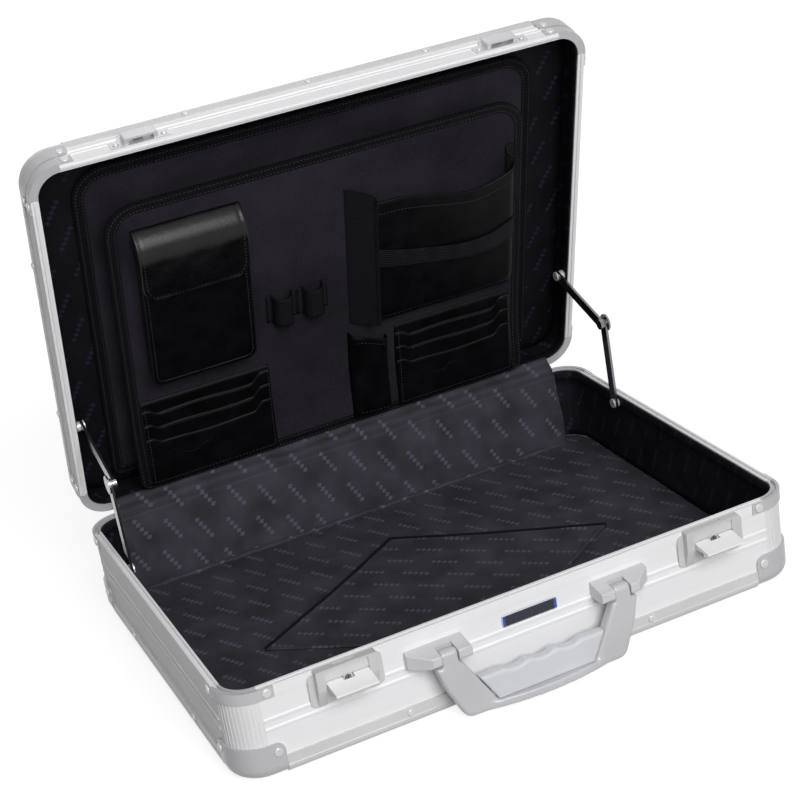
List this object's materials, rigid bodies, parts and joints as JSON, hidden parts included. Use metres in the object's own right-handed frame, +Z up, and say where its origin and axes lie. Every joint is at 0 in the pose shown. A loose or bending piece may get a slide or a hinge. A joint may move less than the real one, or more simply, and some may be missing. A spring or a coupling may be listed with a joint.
{
  "type": "attache case",
  "caption": "Hinged aluminium attache case with an open cloth-lined tray, folding lid stays, flip latches, a swinging carry handle and a pocketed organizer in the lid.",
  "frame": {"origin": "middle of the flat underside that the case lies on", "axes": "+X to the right seen from the latch side, +Y towards the hinge, +Z up; the lid stands open by 72.7 degrees"},
  "size_m": [0.465, 0.3919, 0.4025],
  "materials": {
    "ribbed_aluminium": "satin silver anodised, with raised ribs",
    "aluminium_panel": "satin silver anodised",
    "fluted_aluminium": "satin silver anodised",
    "satin_corner_metal": "satin grey cast",
    "rivet_metal": "satin silver",
    "hinge_metal": "satin",
    "dark_steel": "bright polished",
    "latch_metal": "satin chrome",
    "bolt_steel": "satin",
    "lock_metal": "satin",
    "handle_metal": "satin silver lacquer",
    "grip_plastic": "pearl silver, half gloss",
    "lining_cloth": "black woven lining with a small blue-violet woven motif",
    "felt_cloth": "black fine-pile covering",
    "bellows_cloth": "black cloth",
    "black_leather": "black, half gloss, fine grain",
    "elastic_web": "black elastic webbing"
  },
  "bodies": {
    "base": {"base_front_wall": "ribbed_aluminium", "base_right_wall": "ribbed_aluminium", "base_back_wall": "ribbed_aluminium", "base_left_wall": "ribbed_aluminium", "base_panel": "aluminium_panel", "base_corner_posts": "fluted_aluminium", "base_rim_corners": "satin_corner_metal", "base_corner_caps": "satin_corner_metal", "base_edge_trims": "fluted_aluminium", "base_rivets": "rivet_metal", "base_wall_lining": "lining_cloth", "base_floor_lining": "lining_cloth", "base_back_flap": "lining_cloth", "floor_pocket": "lining_cloth", "hinge_base_leaf": "hinge_metal", "hinge_pin": "hinge_metal", "stay_base_pivots": "dark_steel", "latch_housing_left": "latch_metal", "latch_housing_right": "latch_metal", "handle_brackets": "handle_metal"},
    "lid": {"lid_front_wall": "ribbed_aluminium", "lid_right_wall": "ribbed_aluminium", "lid_back_wall": "ribbed_aluminium", "lid_left_wall": "ribbed_aluminium", "lid_panel": "aluminium_panel", "lid_corner_posts": "fluted_aluminium", "lid_rim_corners": "satin_corner_metal", "lid_corner_caps": "satin_corner_metal", "lid_edge_trims": "fluted_aluminium", "lid_rivets": "rivet_metal", "lid_wall_lining": "lining_cloth", "lid_panel_lining": "lining_cloth", "hinge_lid_leaf": "hinge_metal", "stay_lid_pivots": "dark_steel", "keeper_left": "latch_metal", "keeper_right": "latch_metal", "organizer_back_panel": "felt_cloth", "organizer_front_panel": "felt_cloth", "organizer_gussets": "bellows_cloth", "phone_pocket": "black_leather", "elastic_loops": "elastic_web", "media_pocket": "black_leather", "small_pocket": "black_leather", "card_pocket_left": "black_leather", "card_pocket_right": "black_leather"},
    "handle": {"handle_bail": "handle_metal", "handle_grip": "grip_plastic"},
    "phone_flap": {"phone_flap": "black_leather"},
    "lower_stay_left": {"stay_lower_arm_left": "dark_steel", "stay_elbow_left": "dark_steel"},
    "upper_stay_left": {"stay_upper_arm_left": "dark_steel"},
    "lever_left": {"latch_lever_left": "latch_metal"},
    "bolt_left": {"latch_bolt_left": "bolt_steel"},
    "lock_left": {"lock_cylinder_left": "lock_metal"},
    "lower_stay_right": {"stay_lower_arm_right": "dark_steel", "stay_elbow_right": "dark_steel"},
    "upper_stay_right": {"stay_upper_arm_right": "dark_steel"},
    "lever_right": {"latch_lever_right": "latch_metal"},
    "bolt_right": {"latch_bolt_right": "bolt_steel"},
    "lock_right": {"lock_cylinder_right": "lock_metal"}
  },
  "joints": [
    {"name": "lid_hinge", "type": "hinge", "parent": "base", "child": "lid", "pos_m": [0, 0.1694, 0.0723], "axis": [1, 0, 0], "range_deg": [-12.3, 72.7]},
    {"name": "lower_stay_left_pivot", "type": "hinge", "parent": "base", "child": "lower_stay_left", "pos_m": [-0.2204, 0.077, 0.0645], "axis": [1, 0, 0], "range_deg": [-14.7, 86.5]},
    {"name": "upper_stay_left_pivot", "type": "hinge", "parent": "lid", "child": "upper_stay_left", "pos_m": [-0.2179, 0.14937, 0.16284], "axis": [1, 0, 0], "range_deg": [-86.5, 14.7]},
    {"name": "lever_left_pivot", "type": "hinge", "parent": "base", "child": "lever_left", "pos_m": [-0.142, -0.1713, 0.06], "axis": [1, 0, 0], "range_deg": [0, 81]},
    {"name": "bolt_left_slide", "type": "slide", "parent": "base", "child": "bolt_left", "axis": [0, 0, 1], "range_m": [0, 0.0075]},
    {"name": "lock_left_turn", "type": "hinge", "parent": "base", "child": "lock_left", "pos_m": [-0.142, -0.1705, 0.06], "axis": [0, 1, 0], "range_deg": [0, 90]},
    {"name": "lower_stay_right_pivot", "type": "hinge", "parent": "base", "child": "lower_stay_right", "pos_m": [0.2204, 0.077, 0.0645], "axis": [1, 0, 0], "range_deg": [-14.7, 86.5]},
    {"name": "upper_stay_right_pivot", "type": "hinge", "parent": "lid", "child": "upper_stay_right", "pos_m": [0.2179, 0.14937, 0.16284], "axis": [1, 0, 0], "range_deg": [-86.5, 14.7]},
    {"name": "lever_right_pivot", "type": "hinge", "parent": "base", "child": "lever_right", "pos_m": [0.1553, -0.1713, 0.06], "axis": [1, 0, 0], "range_deg": [0, 81]},
    {"name": "bolt_right_slide", "type": "slide", "parent": "base", "child": "bolt_right", "axis": [0, 0, 1], "range_m": [0, 0.0075]},
    {"name": "lock_right_turn", "type": "hinge", "parent": "base", "child": "lock_right", "pos_m": [0.1553, -0.1705, 0.06], "axis": [0, 1, 0], "range_deg": [0, 90]},
    {"name": "handle_swing", "type": "hinge", "parent": "base", "child": "handle", "pos_m": [0, -0.178, 0.0525], "axis": [-1, 0, 0], "range_deg": [-8, 84]},
    {"name": "phone_flap_fold", "type": "hinge", "parent": "lid", "child": "phone_flap", "pos_m": [-0.115, 0.09582, 0.32233], "axis": [1, 0, 0], "range_deg": [-90, 0]}
  ],
  "couplings": [
    {"joint": "lower_stay_left_pivot", "follows": "lid_hinge", "ratio": 1.1887},
    {"joint": "upper_stay_left_pivot", "follows": "lid_hinge", "ratio": -1.1887},
    {"joint": "bolt_left_slide", "follows": "lever_left_pivot", "m_per_rad": 0.0053052},
    {"joint": "lower_stay_right_pivot", "follows": "lid_hinge", "ratio": 1.1887},
    {"joint": "upper_stay_right_pivot", "follows": "lid_hinge", "ratio": -1.1887},
    {"joint": "bolt_right_slide", "follows": "lever_right_pivot", "m_per_rad": 0.0053052}
  ]
}
